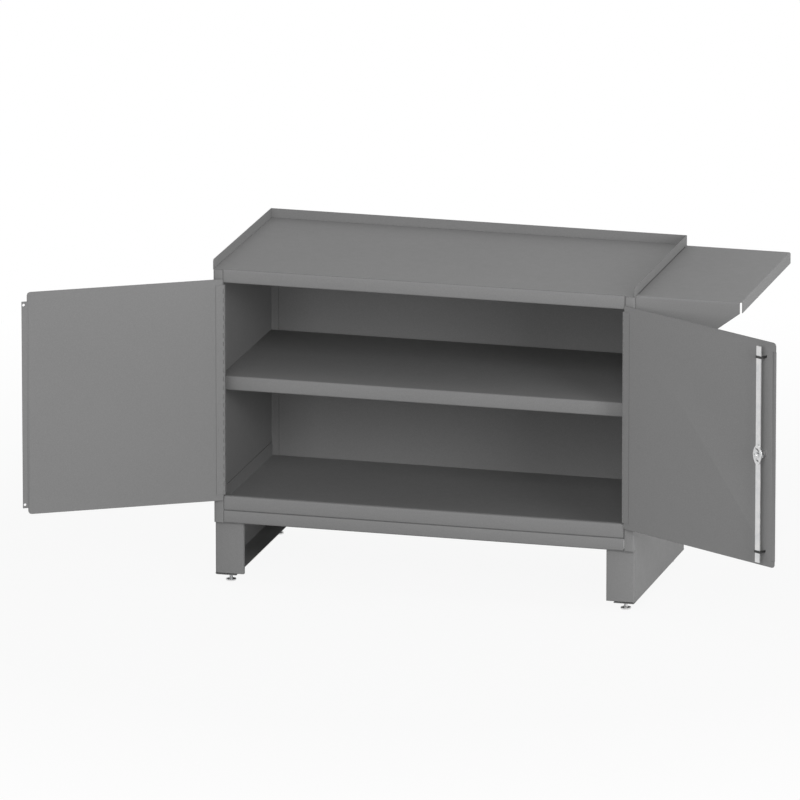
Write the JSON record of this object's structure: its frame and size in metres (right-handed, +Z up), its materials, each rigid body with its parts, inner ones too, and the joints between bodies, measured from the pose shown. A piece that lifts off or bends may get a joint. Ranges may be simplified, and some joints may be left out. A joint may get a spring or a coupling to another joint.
{
  "type": "cabinet workbench",
  "caption": "Steel cabinet workbench with a rimmed worktop, wide hinged doors locked by a handle and rods, inner shelves, a bracketed side shelf and levelling feet.",
  "frame": {"origin": "on the floor, under the middle of the outline with both doors open as in the picture", "axes": "+X to the bench's right seen from the front, +Y to the back, +Z up"},
  "size_m": [2.1678, 0.9128, 0.9453],
  "materials": {
    "grey_paint": "semi-gloss powder coat",
    "zinc_plate": "bright zinc plate",
    "chrome": "polished",
    "black_paint": "satin black"
  },
  "bodies": {
    "frame": {"worktop": "grey_paint", "back_panel": "grey_paint", "middle_shelf": "grey_paint", "bottom_shelf": "grey_paint", "base_rail": "grey_paint", "side_shelf": "grey_paint", "side_panel_left": "grey_paint", "side_panel_right": "grey_paint", "leg_plate_front_left": "grey_paint", "leg_plate_front_right": "grey_paint", "leg_plate_rear_left": "grey_paint", "leg_plate_rear_right": "grey_paint", "cabinet_leaf_left": "grey_paint", "cabinet_leaf_right": "grey_paint", "hinge_pin_left": "zinc_plate", "hinge_pin_right": "zinc_plate", "foot_nut_front_left": "zinc_plate", "foot_nut_front_right": "zinc_plate", "foot_nut_rear_left": "zinc_plate", "foot_nut_rear_right": "zinc_plate"},
    "left_door": {"door_left": "grey_paint", "door_leaf_left": "grey_paint"},
    "right_door": {"door_right": "grey_paint", "door_leaf_right": "grey_paint", "lock_boss": "zinc_plate", "rod_guide_upper": "black_paint", "rod_guide_lower": "black_paint"},
    "handle": {"lock_handle": "chrome", "lock_cam": "zinc_plate", "lock_cam_nut": "zinc_plate"},
    "rod_upper": {"lock_rod_upper": "zinc_plate"},
    "rod_lower": {"lock_rod_lower": "zinc_plate"},
    "foot_fl": {"foot_front_left": "zinc_plate"},
    "foot_fr": {"foot_front_right": "zinc_plate"},
    "foot_rl": {"foot_rear_left": "zinc_plate"},
    "foot_rr": {"foot_rear_right": "zinc_plate"}
  },
  "joints": [
    {"name": "left_door_hinge", "type": "hinge", "parent": "frame", "child": "left_door", "pos_m": [-0.57848, -0.15499, 0.56915], "axis": [0, 0, 1], "range_deg": [-20, 150]},
    {"name": "right_door_hinge", "type": "hinge", "parent": "frame", "child": "right_door", "pos_m": [0.57712, -0.15499, 0.56915], "axis": [0, 0, 1], "range_deg": [-150, 20]},
    {"name": "lock_handle_turn", "type": "hinge", "parent": "right_door", "child": "handle", "pos_m": [1.04305, -0.42608, 0.56915], "axis": [-0.5, -0.866, 0], "range_deg": [0, 90]},
    {"name": "upper_rod_slide", "type": "slide", "parent": "right_door", "child": "rod_upper", "axis": [0, 0, 1], "range_m": [0, 0.0126]},
    {"name": "lower_rod_slide", "type": "slide", "parent": "right_door", "child": "rod_lower", "axis": [0, 0, -1], "range_m": [0, 0.0126]},
    {"name": "foot_front_left_level", "type": "slide", "parent": "frame", "child": "foot_fl", "axis": [0, 0, 1], "range_m": [-0.012, 0.012]},
    {"name": "foot_front_right_level", "type": "slide", "parent": "frame", "child": "foot_fr", "axis": [0, 0, 1], "range_m": [-0.012, 0.012]},
    {"name": "foot_rear_left_level", "type": "slide", "parent": "frame", "child": "foot_rl", "axis": [0, 0, 1], "range_m": [-0.012, 0.012]},
    {"name": "foot_rear_right_level", "type": "slide", "parent": "frame", "child": "foot_rr", "axis": [0, 0, 1], "range_m": [-0.012, 0.012]}
  ],
  "couplings": [
    {"joint": "upper_rod_slide", "follows": "lock_handle_turn", "m_per_rad": 0.00802},
    {"joint": "lower_rod_slide", "follows": "lock_handle_turn", "m_per_rad": 0.00802}
  ]
}
